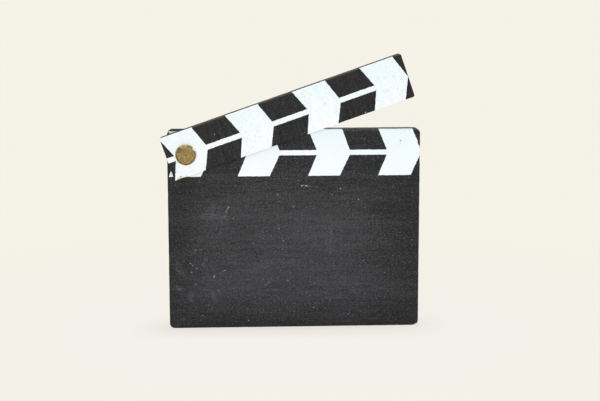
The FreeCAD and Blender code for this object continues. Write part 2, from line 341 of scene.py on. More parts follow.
def stick_wood(settings):
    """The stick: grain across it, and a strip at its lower left where the paint is worn off."""
    chips = [
        ((1.15, 0.0), 0.55, 0.2),
        ((2.0, 0.0), 1.15, 0.3),
        ((3.0, 0.0), 1.0, 0.25),
        ((3.9, 0.0), 0.75, 0.2),
        ((4.5, 0.0), 0.45, 0.12),
    ]
    return Wood("clap_stick", STICK_PLACE, settings, (0.9, 0.9, 0.05), chips)


def added(name, data):
    """A new object in the scene."""
    made = bpy.data.objects.new(name, data)
    bpy.context.scene.collection.objects.link(made)
    return made


class Shape:
    """A mesh in the making, whose points remember where they sit on their piece."""

    def __init__(self, *marks):
        self.mesh = bmesh.new()
        layers = self.mesh.verts.layers
        self.place = layers.float_vector.new("place")
        self.marks = [layers.float.new(mark) for mark in marks]

    def point(self, spot, *values):
        """A point, with a value for each of the shape's marks."""
        made = self.mesh.verts.new(spot)
        made[self.place] = spot
        for mark, value in zip(self.marks, values):
            made[mark] = value
        return made

    def face(self, *points):
        """A face, its points anticlockwise seen from outside, a repeated one taken once."""
        self.mesh.faces.new(list(dict.fromkeys(points)))

    def bridge(self, first, second):
        """Faces from one closed loop to the next, both anticlockwise seen from the front."""
        for step, point in enumerate(first):
            self.face(first[step - 1], second[step - 1], second[step], point)

    def piece(self, name, placing, sharp=40):
        """The finished shape as an object in its place."""
        self.mesh.transform(placing)
        mesh = bpy.data.meshes.new(name)
        self.mesh.to_mesh(mesh)
        self.mesh.free()
        mesh.polygons.foreach_set("use_smooth", [True] * len(mesh.polygons))
        mesh.set_sharp_from_angle(angle=math.radians(sharp))
        return added(name, mesh)


def side_stops(low, high, turn, collar, gap):
    """Stops along one side of a face: close in the corners and round the bore, even elsewhere."""
    stops = spread(low, low + turn, turn / CORNER_CELLS)
    stops += spread(low + turn, -collar, gap)[1:]
    stops += spread(-collar, collar, collar / COLLAR_RINGS)[1:]
    stops += spread(collar, high - turn, gap)[1:]
    return stops + spread(high - turn, high, turn / CORNER_CELLS)[1:]


def face_grid(wood, gaps):
    """Where the lines of a face cross, bent round its corners and its bore, and its two loops."""
    turn = wood.corner - wood.ease
    collar = 2 * wood.bore
    columns, rows = [
        side_stops(low + wood.ease, high - wood.ease, turn, collar, gap)
        for low, high, gap in zip(wood.low.xz, wood.high.xz, gaps)
    ]
    grid = {}
    outer = []
    inner = []
    for column, across in enumerate(columns):
        for row, up in enumerate(rows):
            ring = round(max(abs(across), abs(up)) / collar * COLLAR_RINGS, 5)
            if ring < BORE_RING:
                continue
            spot = Vector((across, up))
            if ring < COLLAR_RINGS:
                share = (ring - BORE_RING) / (COLLAR_RINGS - BORE_RING)
                spot = (spot.normalized() * wood.bore).lerp(spot * COLLAR_RINGS / ring, share)
            grid[column, row] = wood.turned_in(spot)
            if ring == BORE_RING:
                inner.append((column, row))
            if column in (0, len(columns) - 1) or row in (0, len(rows) - 1):
                outer.append((column, row))
    middle = (wood.low.xz + wood.high.xz) / 2
    inner.sort(key=lambda key: math.atan2(grid[key].y, grid[key].x))
    outer.sort(key=lambda key: math.atan2(grid[key].y - middle.y, grid[key].x - middle.x))
    return grid, outer, inner


def rim_steps(wood, gap):
    """From the front's flat to the back's: the way out, the depth and the angle turned at each step."""
    thick = wood.high.y - wood.low.y
    quarter = [math.pi / 2 * step / EASE_STEPS for step in range(1, EASE_STEPS + 1)]
    steps = [(wood.ease * math.sin(turn), wood.ease * (1 - math.cos(turn)), turn) for turn in quarter]
    steps += [(wood.ease, depth, math.pi / 2) for depth in spread(wood.ease, thick - wood.ease, gap)[1:]]
    return steps + [(out, thick - depth, math.pi - turn) for out, depth, turn in steps[EASE_STEPS - 2::-1]]


def wood_piece(name, wood, gaps):
    """The two faces of a wood, its eased rim and the wall of its bore."""
    shape = Shape("front", "bare")

    def worn(spot, depth, out, front, edge):
        """Adds a point of the surface where its wear has moved it to."""
        place, bare = wood.sunk(Vector((spot.x, depth, spot.y)), out, edge)
        return shape.point(place, front, bare)

    grid, outer, inner = face_grid(wood, gaps)
    sides = []
    for depth, out, front in ((wood.low.y, Vector((0, -1, 0)), 1), (wood.high.y, Vector((0, 1, 0)), 0)):
        sides.append({
            key: worn(spot, depth, out, front, edge_share(wood.rim(spot)[0])) for key, spot in grid.items()
        })
    for column, row in grid:
        cell = [(column, row), (column + 1, row), (column + 1, row + 1), (column, row + 1)]
        if all(key in grid for key in cell):
            shape.face(*[sides[0][key] for key in cell])
            shape.face(*[sides[1][key] for key in reversed(cell)])
    loop = [sides[0][key] for key in outer]
    for reach, depth, turn in rim_steps(wood, gaps[0]):
        ring = []
        for key in outer:
            way = wood.rim(grid[key])[1]
            spot = grid[key] + way * reach
            ring.append(worn(spot, wood.low.y + depth, outwards(way, turn), max(0.0, math.cos(turn)), 1))
        shape.bridge(loop, ring)
        loop = ring
    shape.bridge(loop, [sides[1][key] for key in outer])
    shape.bridge([sides[1][key] for key in inner], [sides[0][key] for key in inner])
    return shape.piece(name, wood.placing)


def chevron_corners(settings, notches, tip, line, bottom, wood):
    """Corners of a print, anticlockwise from the left end of its centre line."""
    lean = math.tan(settings.rake)
    white = settings.white / MM
    half = settings.line / MM / 2
    line, bottom, top = line / MM, bottom / MM, wood.high.z
    notches = [notch / MM for notch in notches]

    def bar(notch, level):
        """Corners of half a chevron, from the centre line to a level and back."""
        near = notch - lean * half
        far = notch - lean * abs(level - line)
        wide = white + settings.flare * (level - line)
        side = line + math.copysign(half, level - line)
        return [(near, side), (far, level), (far + wide, level), (near + white, side)]

    corners = [(wood.low.x, line - half)]
    for notch in notches:
        corners += bar(notch, bottom)
    corners[-1] = (notches[-1] + white, line)
    for notch in reversed(notches):
        corners += reversed(bar(notch, top))
    corners = [Vector(corner) for corner in corners] + [Vector((wood.low.x, line + half))]
    end = 4 * len(notches)
    for corner in corners[end - 1:end + 2]:
        corner.x += tip / MM
    return corners


def print_outline(corners, wood, waver, lead, ragged):
    """The edge of a print with its small wanderings, kept on the wood and clear of its worn strip."""
    noise.seed_set(WAVER_SEED)
    outline = []
    for corner, after in zip(corners, corners[1:] + corners[:1]):
        for share in spread(0, 1, OUTLINE_GAP / (after - corner).length)[:-1]:
            spot = corner.lerp(after, share)
            near_end = max(0.0, min(1.0, (spot.x - wood.high.x + RAGGED_REACH) / RAGGED_FADE))
            rough = waver / 2 + ragged * near_end
            field = spot.to_3d() * WAVER_WAVE
            spot += noise.noise_vector(field).xy * waver + noise.noise_vector(field * FINE_WAVE).xy * rough
            for centre, reach, _ in wood.chips:
                left = (CHIP_SHARE * reach) ** 2 - (spot.x - centre.x) ** 2
                if left > 0 and abs(spot.y - centre.z) < math.sqrt(left):
                    spot.y = centre.z + math.sqrt(left)
            inset, way = wood.rim(spot)
            spot -= way * max(0.0, RIM_MARGIN - inset)
            spot.x = max(spot.x, wood.low.x + lead)
            spot.y = min(spot.y, wood.high.z - lead * (1 - (spot.x - wood.low.x) / LEAD_RUN))
            if not outline or (spot - outline[-1]).length > LEAST_GAP:
                outline.append(spot)
    return outline


def film_stops(low, high, turn, gap):
    """Stops along one side of a film: close over the eased edges, even elsewhere."""
    stops = spread(low + FILM_MARGIN, low + turn, FILM_RIM_GAP)
    stops += spread(low + turn, high - turn, gap)[1:-1]
    return stops + spread(high - turn, high - FILM_MARGIN, FILM_RIM_GAP)


def film_piece(name, outline, wood, film, gaps):
    """A thin printed film laid over the worn front of a wood and its eased edge."""
    turns = spread(0, math.tau, math.tau / EYE_SIDES)[:-1]
    hole = [Vector((math.cos(turn), math.sin(turn))) * wood.bore for turn in turns]
    edges = []
    for start, count in ((0, len(outline)), (len(outline), len(hole))):
        edges += [(start + step, start + (step + 1) % count) for step in range(count)]
    columns, rows = [
        film_stops(low, high, wood.corner, gap) for low, high, gap in zip(wood.low.xz, wood.high.xz, gaps)
    ]
    spots = outline + hole + [Vector((across, up)) for across in columns for up in rows]
    plan, _, faces, _, _, _ = delaunay_2d_cdt(spots, edges, [], INSIDE_ONLY, MERGE_GAP)
    clear = wood.bore * math.cos(math.pi / EYE_SIDES)
    centres = [sum((plan[index] for index in face), Vector((0, 0))) / 3 for face in faces]
    faces = [face for face, centre in zip(faces, centres) if centre.length > clear]
    sides = {(face[step - 1], index): None for face in faces for step, index in enumerate(face)}
    rims = [(first, second) for first, second in sides if (second, first) not in sides]
    ends = {first for first, _ in rims}
    shape = Shape()
    used = {index for face in faces for index in face}
    lifts = {index: film * (FILM_EDGE if index in ends else 1) for index in used}
    top = {index: shape.point(wood.skin(plan[index], lift)) for index, lift in lifts.items()}
    under = {index: shape.point(wood.skin(plan[index], -FILM_SINK)) for index in used}
    for face in faces:
        shape.face(*[top[index] for index in face])
        shape.face(*[under[index] for index in reversed(face)])
    for first, second in rims:
        shape.face(top[first], under[first], under[second], top[second])
    return shape.piece(name, wood.placing)


def arc(centre, radii, start, end, steps):
    """Points of a round, as radius and depth, from one angle up to another in degrees."""
    turns = [math.radians(turn) for turn in spread(start, end, (end - start) / steps)]
    return [(centre[0] + radii[0] * math.cos(turn), centre[1] + radii[1] * math.sin(turn)) for turn in turns]


def turning_marks(reaches, level, depth, wave):
    """Rings that waver a little to one side of a level, as a lathe leaves them."""
    return [(reach, level + depth + depth * math.sin(reach * wave)) for reach in reaches]


def round_noise(turn, layer, wave):
    """Noise that meets itself once round a turned piece."""
    return noise.noise(Vector((math.cos(turn), math.sin(turn), layer)) * wave)


def turned_shape(rings, blemish, segments):
    """A turned surface through rings of radius and depth, front to back, with its blemishes."""
    shape = Shape()
    loops = []
    for radius, depth in rings:
        if radius == 0:
            loops.append([shape.point(Vector((0, depth, 0)))] * segments)
            continue
        loop = []
        for step in range(segments):
            turn = math.tau * step / segments
            spot = Vector((radius * math.cos(turn), depth, radius * math.sin(turn)))
            push = Vector((spot.x, 0, spot.z)).normalized()
            loop.append(shape.point(spot + blemish(spot, push, turn)))
        loops.append(loop)
    for first, second in zip(loops, loops[1:]):
        shape.bridge(first, second)
    return shape, loops


def rivet_rings(settings, front, radius, washer_back, crest):
    """Profile of the rivet from the middle of its head to the bottom of its tail's hole."""
    foot = front + settings.head / MM
    bevel = settings.bevel / MM
    drop = settings.bevel_drop / MM
    shank = settings.shank / MM / 2
    tail = settings.tail / MM / 2
    hole = settings.tail_bore / MM / 2
    floor = crest - settings.tail_depth / MM
    flat = radius - bevel
    middle = (tail + hole) / 2
    rings = [(reach, front + deep) for reach, deep in DIMPLE]
    rings += turning_marks(spread(0.5, flat - 0.1, 0.07), front, depth=0.008, wave=21)
    rings.append((flat, front + 0.02))
    rings += [(flat + bevel * wide, front + drop * deep) for wide, deep in BEVEL_CURVE]
    rings += [(radius, front + drop), (radius, front + drop + 0.15), (radius, foot - HEAD_ROUND)]
    rings += arc((radius - HEAD_ROUND, foot - HEAD_ROUND), (HEAD_ROUND, HEAD_ROUND), 20, 90, 4)
    rings += [(shank + 0.1, foot), (shank, foot + 0.1)]
    rings += [(shank, depth) for depth in spread(foot + 1, washer_back - 0.1, 1.5)]
    rings += [(shank + ROLL_SEAT, washer_back), (tail - ROLL_SEAT, washer_back)]
    roll = (tail - hole) / 2, crest - washer_back - ROLL_SEAT
    rings += arc((middle, washer_back + ROLL_SEAT), roll, 0, 180, 18)
    rings += [(hole, washer_back - 0.6), (hole, floor + 0.1)]
    return rings + [(hole - 0.15, floor), (hole / 2, floor), (0, floor)]


def washer_rings(settings, front, back, edge):
    """Profile of the washer from its bore round the front, the stamped edge and the back."""
    hole = settings.bore / MM / 2
    rings = [(hole, front), (edge - 0.08, front), (edge, front + 0.08), (edge, back - 0.2)]
    rings += arc((edge - 0.18, back - 0.2), (0.18, 0.2), 20, 90, 5)
    rings += turning_marks(spread(1.9, edge - 0.25, 0.08)[::-1], back, depth=-0.004, wave=17)
    return rings + [(hole + 0.1, back), (hole, back - 0.1)]


class Wire:
    """A value on a node's socket, on which sums are written as on a number."""

    def __init__(self, recipe, socket):
        self.recipe = recipe
        self.socket = socket

    def sum(self, operation, other):
        """Adds the Math node of one sum."""
        return self.recipe.node("Math", {0: self, 1: other}, operation=operation)

    def turned_sum(self, operation, other):
        """The same with its two terms the other way round."""
        return self.recipe.node("Math", {0: other, 1: self}, operation=operation)

    __add__ = __radd__ = partialmethod(sum, "ADD")
    __mul__ = __rmul__ = partialmethod(sum, "MULTIPLY")
    __sub__ = partialmethod(sum, "SUBTRACT")
    __rsub__ = partialmethod(turned_sum, "SUBTRACT")
    __truediv__ = partialmethod(sum, "DIVIDE")
    __rtruediv__ = partialmethod(turned_sum, "DIVIDE")
    __pow__ = partialmethod(sum, "POWER")
    __rpow__ = partialmethod(turned_sum, "POWER")

    def fade(self, start, end):
        """0 at the start, 1 at the end, smooth between."""
        sockets = {"Value": self, "From Min": start, "From Max": end}
        return self.recipe.node("MapRange", sockets, interpolation_type="SMOOTHSTEP")

    def limit(self):
        """The value kept between 0 and 1."""
        return self.recipe.node("Clamp", {"Value": self})

    def mix(self, first, second):
        """One colour turning into another by this share."""
        ends = [end if isinstance(end, Wire) else (*end, 1.0) for end in (first, second)]
        return self.recipe.node("Mix", {0: self, 6: ends[0], 7: ends[1]}, 2, data_type="RGBA")

    def bump(self, distance):
        """A normal from this height, its distance in millimetres."""
        return self.recipe.node("Bump", {"Height": self, "Distance": distance * MM}, "Normal")

    def cloud(self, scale, detail=2, roughness=0.6):
        """Noise over this vector from 0 to 1, about a half on the average."""
        sockets = {"Vector": self, "Scale": scale, "Detail": detail, "Roughness": roughness}
        return self.recipe.node("TexNoise", sockets, "Fac")

    def grain(self, factors, *noise_values):
        """Noise drawn out along the parts of this vector that have small factors."""
        run = self.recipe.node("VectorMath", {0: self, 1: factors}, operation="MULTIPLY")
        return run.cloud(*noise_values)

    def rings(self, *noise_values):
        """Noise in rings, by this distance from the rivet's axis."""
        return self.recipe.node("CombineXYZ", {0: self}).cloud(*noise_values)


class Recipe:
    """The nodes of a new material or world, added as its sums are written."""

    def __init__(self, owner):
        owner.use_nodes = True
        self.owner = owner
        self.tree = owner.node_tree
        self.tree.nodes.clear()

    def node(self, kind, sockets=(), output=0, **settings):
        """Adds a node with its settings, then its sockets' values and links, and gives one output."""
        made = self.tree.nodes.new("ShaderNode" + kind)
        for name, value in settings.items():
            setattr(made, name, value)
        for key, value in dict(sockets).items():
            if isinstance(value, Wire):
                self.tree.links.new(value.socket, made.inputs[key])
            else:
                made.inputs[key].default_value = value
        return Wire(self, made.outputs[output]) if made.outputs else None

    def mark(self, name, output="Fac"):
        """One of the values that a piece's points carry."""
        return self.node("Attribute", output=output, attribute_name=name)

    def place(self):
        """Where on its piece a point sits, as a vector and as its three parts."""
        place = self.mark("place", "Vector")
        split = self.node("SeparateXYZ", {0: place})
        return place, *[Wire(self, socket) for socket in split.socket.node.outputs]

    def coat(self, **sockets):
        """Ends a material with its surface, sockets named with _ for a space."""
        named = {name.replace("_", " "): value for name, value in sockets.items()}
        return self.end("OutputMaterial", self.node("BsdfPrincipled", named))

    def end(self, kind, shader):
        """Ends a material or world with a shader, and gives it back."""
        self.node(kind, {"Surface": shader})
        return self.owner


def greatest(*values):
    """The greatest of some values."""
    return reduce(lambda first, second: first.sum("MAXIMUM", second), values)


def hypot(across, up):
    """How far a point lies from the middle."""
    return (across * across + up * up) ** 0.5


def stroke(across, up, start, end, width):
    """1 along the middle of a drawn stroke, fading to 0 at its sides."""
    run = Vector(end) - Vector(start)
    across, up = across - start[0], up - start[1]
    share = ((across * run.x + up * run.y) / run.length_squared).limit()
    return hypot(across - share * run.x, up - share * run.y).fade(width, 0.0)


def strokes(across, up, marks):
    """The strongest of many strokes, each written as start, end, width and strength."""
    return greatest(*[stroke(across, up, *mark) * strength for *mark, strength in marks])


def specks(across, up, scale, size):
    """Scattered specks of many sizes."""
    node = across.recipe.node
    sockets = {"Vector": node("CombineXYZ", {0: across, 1: up}), "Scale": scale}
    distance = node("TexVoronoi", sockets, "Distance", voronoi_dimensions="2D")
    tint = node("TexVoronoi", sockets, "Color", voronoi_dimensions="2D")
    luck = node("SeparateColor", {0: tint})
    return (distance / (luck * luck * luck + 0.02)).fade(size * scale, 0.0)


def varied(level, *clouds):
    """A level raised and lowered by clouds, each with its own weight."""
    for cloud, weight in clouds:
        level = level + (cloud - 0.5) * weight
    return level


def shade(tint, factor):
    """A darker or lighter kind of one colour."""
    return tuple(min(1.0, part * factor) for part in tint)


# Marks are written as start, end, width and strength, from the rivet's axis or, for the chalk, from the
# board's lower left corner. The rivet's stains and its painted highlight, on its head alone, have their own
# tints as well.
CHALK_STROKES = [
    ((20.4, 41.8), (19.8, 40.5), 0.4, 0.5),
    ((19.8, 40.5), (18.9, 38.0), 0.4, 0.32),
    ((18.3, 37.2), (17.3, 31.7), 0.9, 0.06),
    ((13.0, 39.2), (18.0, 38.8), 3.0, 0.1),
    ((14.2, 40.9), (15.5, 41.8), 1.9, 0.07),
    ((1.5, 25.0), (10.0, 26.5), 3.4, 0.065),
    ((2.9, 22.4), (3.5, 19.8), 1.9, 0.12),
    ((3.6, 19.6), (4.9, 18.9), 1.5, 0.13),
    ((2.3, 14.3), (4.0, 13.5), 1.3, 0.15),
    ((7.4, 12.0), (7.2, 9.9), 1.7, 0.1),
    ((14.6, 12.0), (15.6, 10.0), 1.7, 0.09),
    ((15.4, 18.2), (15.3, 17.5), 0.48, 0.6),
    ((45.1, 48.8), (46.9, 48.7), 0.38, 0.8),
    ((46.9, 48.7), (50.3, 48.3), 0.35, 0.2),
    ((55.1, 34.8), (54.8, 25.4), 0.55, 0.1),
    ((32.4, 14.7), (34.1, 15.9), 0.4, 0.18),
    ((41.1, 17.6), (43.5, 17.6), 0.35, 0.14),
    ((10.4, 27.3), (12.2, 26.2), 0.6, 0.12),
    ((11.3, 21.9), (13.1, 24.2), 0.6, 0.12),
    ((17.0, 18.9), (18.6, 19.8), 0.4, 0.2),
]
DOT_LENGTH = 0.1
DOT_WIDTH = 0.36
CHALK_DOTS = [
    ((across, up), (across + DOT_LENGTH, up), DOT_WIDTH, strength)
    for across, up, strength in (
        (45.0, 48.8, 1.0), (58.1, 47.7, 0.59), (64.2, 43.9, 0.55), (36.9, 45.8, 0.55), (37.2, 34.2, 0.46),
        (40.2, 16.2, 0.46), (49.0, 6.7, 0.42), (26.8, 2.4, 0.42), (42.2, 41.7, 0.42), (28.7, 29.1, 0.38),
        (18.8, 19.9, 0.46), (7.3, 22.5, 0.46), (8.0, 21.8, 0.38), (9.3, 20.7, 0.38), (7.6, 19.4, 0.34),
        (9.1, 27.0, 0.35), (8.9, 15.2, 0.38),
    )
]
BOARD_PINHOLES = [
    ((71.9, 3.55), (71.95, 3.7), 0.36, 0.92),
    ((71.9, 2.57), (71.95, 2.62), 0.3, 0.35),
    ((74.9, 6.95), (74.95, 7.0), 0.3, 0.35),
    ((73.2, 6.62), (73.3, 6.67), 0.3, 0.38),
]
STICK_PINHOLES = [
    ((70.7, 2.13), (70.75, 2.18), 0.3, 0.35),
    ((74.6, -0.66), (74.65, -0.61), 0.28, 0.26),
    ((76.4, 0.46), (76.45, 0.51), 0.28, 0.3),
    ((42.8, 6.37), (42.85, 6.42), 0.3, 0.33),
    ((-2.5, -6.45), (-2.35, -6.4), 0.28, 0.6),
    ((-0.2, -5.9), (0.0, -5.85), 0.3, 0.1),
]
STICK_BITS = [
    ((60.65, -6.6), (60.8, -6.55), 0.26, 0.75),
    ((11.2, 3.15), (11.25, 3.25), 0.24, 0.6),
    ((35.9, 5.7), (35.95, 5.7), 0.25, 0.2),
    ((39.5, -6.1), (39.55, -6.1), 0.25, 0.2),
]
STRIP_STAINS = [((-4.1, -6.5), (-3.9, -6.2), 0.6, 1.0), ((-5.2, -6.65), (-5.0, -6.55), 0.35, 0.8)]
HEAD_MARK_DEPTHS = -7.6, -7.9
RIVET_STAINS_AND_HIGHLIGHT = [
    ((-0.3, 0.95), (-0.25, 0.9), 0.65, 0.8, (0.14, 0.12, 0.03)),
    ((-0.36, -0.5), (-0.3, -0.55), 0.42, 0.15, (0.6, 0.5, 0.26)),
    ((-2.15, 1.15), (-1.5, 1.85), 1.0, 1.0, (0.135, 0.065, 0.024)),
    ((-2.45, 2.1), (-2.1, 2.3), 0.5, 0.9, (0.06, 0.035, 0.02)),
    ((-1.75, 2.65), (-1.4, 2.75), 0.34, 0.6, (0.62, 0.5, 0.34)),
    ((0.7, 3.0), (1.5, 2.7), 0.4, 0.8, (0.06, 0.045, 0.025)),
    ((-0.1, 2.85), (0.7, 2.65), 0.34, 0.4, (0.42, 0.33, 0.22)),
    ((1.1, 2.4), (1.45, 2.2), 0.34, 0.3, (0.4, 0.31, 0.21)),
    # Painted highlight: a pale cream glint on the bevel at the upper right.
    ((2.5, 2.15), (2.95, 1.5), 0.4, 0.9, (0.95, 0.88, 0.62)),
    ((-0.05, -3.3), (0.4, -3.2), 0.42, 0.95, (0.05, 0.03, 0.015)),
]


def board_finish(settings, wood):
    """Matt black chalkboard paint over grain, with chalk haze, dust and a few chalk marks, painted light
    that leaves its middle lighter than its edges, and paint rubbed thin along the upper edge that is partly
    a painted highlight.
    """
    recipe = Recipe(bpy.data.materials.new("board_paint"))
    place, across, _, up = recipe.place()
    left = across - wood.low.x
    lower = up - wood.low.z
    fine = place.grain((0.06, 1, 1), 1.7, 3)
    broad = place.grain((0.035, 1, 1), 0.55, 3)
    haze = place.grain((0.45, 1, 1), 0.07, 4, 0.55)
    grit = place.grain((0.75, 1, 1), 2.9)
    mottle = place.cloud(0.8, 3)
    # Painted light: the black is made lighter in the middle of the front and darker towards all its edges,
    # like a pool of light. The chalk powder is made denser in the middle by the same mask.
    middle = left.fade(0, 16) * lower.fade(-2, 16)
    middle = middle * (wood.high.x - across).fade(-2, 32) * (wood.high.z - up).fade(2, 34)
    tone = varied(0.11 + middle * 0.4, (fine, 0.5), (broad, 0.4), (haze, 0.6), (grit, 2.2), (mottle, 0.5))
    black = tone.limit().mix(shade(settings.paint, 0.5), shade(settings.paint, 2.3))

    patchy = place.cloud(2.6, 1, 0.5).fade(0.4, 0.62)
    powder = place.grain((0.8, 1, 1), 3.7, 1, 0.5).fade(0.58, 0.85)
    chalk = greatest(
        strokes(left, lower, CHALK_STROKES) * patchy,
        strokes(left, lower, CHALK_DOTS),
        powder * (0.03 + middle * 0.11),
        specks(left, lower, 0.18, 0.34) * 0.45,
        specks(left, lower, 0.75, 0.24) * 0.34,
    )
    marked = (chalk * recipe.mark("front")).mix(black, settings.chalk)

    # Partly wear and partly painted highlight: towards the right, the black along the eased top edge of the
    # front turns to a rubbed grey. It stands for paint worn thin and for the light that the rounded edge
    # catches.
    ridge_wear_and_highlight = up.fade(wood.high.z - 0.75, wood.high.z - 0.4) * grit.fade(0.3, 0.6)
    worn = (ridge_wear_and_highlight * left.fade(25, 50) * 0.6).mix(marked, settings.rubbed_and_lit)
    chips = (recipe.mark("bare") * (0.5 + grit)).fade(0.25, 0.5)
    return recipe.coat(
        Base_Color=chips.mix(worn, settings.wood),
        Roughness=varied(0.78, (fine, -0.35)),
        Specular_IOR_Level=0.12,
        Normal=(fine * 0.6 + grit * 0.4).bump(0.05),
    )


def stick_finish(settings, wood):
    """Matt black paint over cross grain, worn through to pale wood along one strip, with painted shade along
    its lower edge and a top edge lightened partly by painted light.
    """
    recipe = Recipe(bpy.data.materials.new("stick_paint"))
    place, across, _, up = recipe.place()
    fine = place.grain((1, 1, 0.07), 1.7, 3)
    broad = place.grain((1, 1, 0.04), 0.5, 3)
    grit = place.cloud(2.6)
    mottle = place.cloud(0.8, 3)
    tone = varied(0.29, (fine, 0.8), (broad, 0.5), (grit, 2.2), (mottle, 0.6))
    tone = tone - across.fade(25, 70) * 0.1
    black = tone.limit().mix(shade(settings.paint, 0.35), shade(settings.paint, 1.45))
    # Partly wear and partly painted light: the stick's top edge turns olive grey. It stands for thin paint
    # and for the light from above that falls on that edge.
    top = up.fade(wood.high.z - 0.45, wood.high.z - 0.15) * grit.fade(0.1, 0.6)
    black = top.mix(black, settings.rubbed_and_lit)
    # Painted shade: the lower eased edge is darkened nearly to black. It stands in for the thin shadow line
    # between the stick and the board.
    under = up.fade(wood.low.z + 0.35, wood.low.z + 0.1)
    black = (under * 0.8).mix(black, shade(settings.paint, 0.2))
    bits = strokes(across, up, STICK_BITS) * recipe.mark("front")
    black = bits.mix(black, settings.dust)
    stains = strokes(across, up, STRIP_STAINS) * grit.fade(0.3, 0.55)
    bare = stains.mix(settings.wood, shade(settings.wood, 0.3))
    chips = (recipe.mark("bare") * (0.4 + grit)).fade(0.03, 0.14)
    return recipe.coat(
        Base_Color=chips.mix(black, bare),
        Roughness=varied(0.74, (fine, -0.35)),
        Specular_IOR_Level=0.15,
        Normal=(fine * 0.6 + grit * 0.4).bump(0.05),
    )


def ink_finish(name, inks, pinholes, grain, pores, soil):
    """White printed ink, flecked by the pores of the wood, with the pinholes that it dried with."""
    recipe = Recipe(bpy.data.materials.new(name))
    place, across, _, up = recipe.place()
    fine = place.grain(grain, 3.2)
    broad = place.grain(grain, 0.6, 3)
    grit = place.cloud(3.1)
    flecks = varied(fine, (broad, 0.4)).fade(0.5, 0.68)
    dry = shade([sum(parts) / 2 for parts in zip(*inks)], 0.82)
    # The white turns greyer and bluer towards the top of a print and towards its right end.
    white = (up.fade(-6, 8) * 0.4 + across.fade(30, 75) * 0.2).mix(*inks)
    white = (flecks * pores).mix(white, dry)
    dirt = greatest(grit.fade(0.72, 0.8) * soil, strokes(across, up, pinholes))
    return recipe.coat(
        Base_Color=dirt.mix(white, shade(inks[0], 0.06)),
        Roughness=varied(0.62, (grit, 0.3)),
        Specular_IOR_Level=0.3,
        Normal=(fine * 0.5 + grit * 0.5).bump(0.02),
    )


def rivet_finish(settings):
    """Satin brass with turning marks, gone brown at the rim and red in one patch. The brown at the rim is
    partly painted shade, and one pale glint on the bevel is a painted highlight.
    """
    recipe = Recipe(bpy.data.materials.new("rivet_brass"))
    place, across, depth, up = recipe.place()
    reach = hypot(across, up)
    turning = reach.rings(5.0)
    mottle = place.cloud(1.1, 4)
    grit = place.cloud(6.0)
    # Partly tarnish and partly painted shade: the brass browns a little more towards the rim. This stands in
    # for the darker reflection on the bevel.
    rim = reach.fade(2.0, 3.2)
    brown = varied(0.89 - rim * 0.07, (mottle, 0.9), (turning, 0.4), (grit, 0.3)).limit()
    base = brown.mix(settings.brass, settings.tarnish)
    head = depth.fade(*HEAD_MARK_DEPTHS)
    # Stains, and one painted highlight, tinted onto the head.
    for *mark, strength, tint in RIVET_STAINS_AND_HIGHLIGHT:
        stain_and_highlight = stroke(across, up, *mark) * (strength + grit - 0.5).limit()
        base = (stain_and_highlight * head).mix(base, tint)
    return recipe.coat(
        Base_Color=base,
        Metallic=1 - brown * 0.35,
        Roughness=varied(0.36 + brown * 0.2, (grit, 0.2)),
        Normal=(turning * 0.5 + grit * 0.5).bump(0.02),
    )


def washer_finish(settings):
    """Satin brass, brushed round."""
    recipe = Recipe(bpy.data.materials.new("washer_brass"))
    place, across, _, up = recipe.place()
    brushed = hypot(across, up).rings(6.0, 3)
    mottle = place.cloud(0.8, 4)
    dull = varied(0.16, (mottle, 1.6), (brushed, 0.6)).limit()
    return recipe.coat(
        Base_Color=dull.mix(settings.brass, shade(settings.brass, 0.5)),
        Metallic=1 - dull * 0.2,
        Roughness=0.34 + dull * 0.2,
        Normal=brushed.bump(0.02),
    )


def settle(piece, finish, body, node):
    """Gives a piece its finish and puts it in the place of its plain solid."""
    piece.data.materials.append(finish)
    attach(piece, body)
    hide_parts(node)


class CLAPPERBOARD_OT_board(bpy.types.Operator):
    """Builds the painted board."""

    bl_idname = "clapperboard.board"
    bl_label = "Board"

    def execute(self, context):
        settings = context.scene.clapperboard.board
        wood = board_wood(settings)
        piece = wood_piece("painted_board", wood, gaps=(1.0, 0.4))
        settle(piece, board_finish(settings, wood), HINGE["parent"], "slate_board")
        return {"FINISHED"}


class CLAPPERBOARD_OT_stick(bpy.types.Operator):
    """Builds the painted clap stick."""

    bl_idname = "clapperboard.stick"
    bl_label = "Stick"

    def execute(self, context):
        settings = context.scene.clapperboard.stick
        wood = stick_wood(settings)
        piece = wood_piece("painted_stick", wood, gaps=(0.35, 0.45))
        settle(piece, stick_finish(settings, wood), HINGE["child"], "clap_stick")
        return {"FINISHED"}


